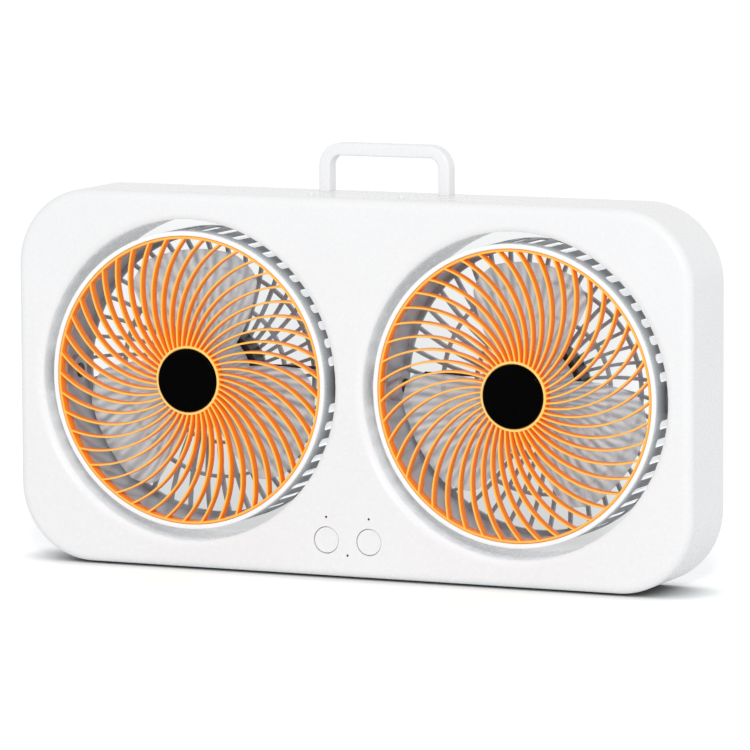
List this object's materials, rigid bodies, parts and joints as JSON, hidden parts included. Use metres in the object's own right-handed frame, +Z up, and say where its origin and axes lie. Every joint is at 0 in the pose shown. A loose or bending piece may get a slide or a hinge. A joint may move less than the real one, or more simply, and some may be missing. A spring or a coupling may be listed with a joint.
{
  "type": "dual-head desk fan",
  "caption": "White desk fan with two round orange-grilled heads that tilt inside openings in one flat rounded case, with front push buttons and a pull-up handle.",
  "frame": {"origin": "middle of the bounding box's bottom, on the floor under the feet", "axes": "+X to the viewer's right along the case's width, -Y out of the front grilles towards the viewer, +Z up"},
  "size_m": [0.4016, 0.05, 0.2363],
  "materials": {
    "case_white": "glossy white ABS, smooth moulded",
    "orange_plastic": "satin-gloss orange ABS",
    "cap_black": "glossy black plastic, bare",
    "black_plastic": "black moulded plastic",
    "silver_plastic": "silver-grey satin plastic",
    "grey_plastic": "mid grey moulded plastic",
    "smoke_plastic": "pale smoky plastic, slightly see-through",
    "steel": "plain zinc-plated steel",
    "rubber": "matt black rubber",
    "board": "green circuit board",
    "clear": "milky clear light pipe",
    "pack_wrap": "blue shrink wrap",
    "red_lead": "red wire insulation",
    "black_lead": "black wire insulation"
  },
  "bodies": {
    "case": {"front_shell": "case_white", "rear_cover": "case_white", "cover_screws": "steel", "rubber_feet": "rubber", "top_studs": "case_white", "tact_switches": "steel", "switch_board": "board", "light_pipes": "clear", "charge_board": "board", "charge_socket": "steel", "board_screws": "steel", "battery_pack": "pack_wrap", "battery_tray": "grey_plastic", "tray_screws": "steel", "battery_leads": "red_lead", "left_motor_lead": "black_lead", "right_motor_lead": "black_lead", "left_outer_axle": "black_plastic", "left_inner_axle": "black_plastic", "right_outer_axle": "black_plastic", "right_inner_axle": "black_plastic", "friction_washers": "rubber"},
    "left_head": {"left_front_grille": "orange_plastic", "left_hub_cap": "cap_black", "left_trim_ring": "case_white", "left_drum": "silver_plastic", "left_rear_guard": "grey_plastic", "left_motor_cup": "black_plastic", "left_motor": "steel", "left_head_lead": "black_lead", "left_motor_screws": "steel"},
    "left_fan": {"left_impeller": "smoke_plastic", "left_motor_shaft": "steel"},
    "right_head": {"right_front_grille": "orange_plastic", "right_hub_cap": "cap_black", "right_trim_ring": "case_white", "right_drum": "silver_plastic", "right_rear_guard": "grey_plastic", "right_motor_cup": "black_plastic", "right_motor": "steel", "right_head_lead": "black_lead", "right_motor_screws": "steel"},
    "right_fan": {"right_impeller": "smoke_plastic", "right_motor_shaft": "steel"},
    "handle": {"handle": "case_white"},
    "left_button": {"left_button": "case_white", "left_plunger": "black_plastic"},
    "right_button": {"right_button": "case_white", "right_plunger": "black_plastic"}
  },
  "joints": [
    {"name": "left_tilt", "type": "hinge", "parent": "case", "child": "left_head", "pos_m": [-0.0973, 0, 0.105], "axis": [1, 0, 0], "range_deg": [-90, 90]},
    {"name": "left_spin", "type": "hinge", "parent": "left_head", "child": "left_fan", "pos_m": [-0.0973, 0, 0.105], "axis": [0, 1, 0], "continuous": true},
    {"name": "right_tilt", "type": "hinge", "parent": "case", "child": "right_head", "pos_m": [0.0973, 0, 0.105], "axis": [1, 0, 0], "range_deg": [-90, 90]},
    {"name": "right_spin", "type": "hinge", "parent": "right_head", "child": "right_fan", "pos_m": [0.0973, 0, 0.105], "axis": [0, 1, 0], "continuous": true},
    {"name": "handle_slide", "type": "slide", "parent": "case", "child": "handle", "axis": [0, 0, -1], "range_m": [0, 0.0133]},
    {"name": "left_press", "type": "slide", "parent": "case", "child": "left_button", "axis": [0, 1, 0], "range_m": [0, 0.001], "stiffness_N_per_m": 600},
    {"name": "right_press", "type": "slide", "parent": "case", "child": "right_button", "axis": [0, 1, 0], "range_m": [0, 0.001], "stiffness_N_per_m": 600}
  ]
}
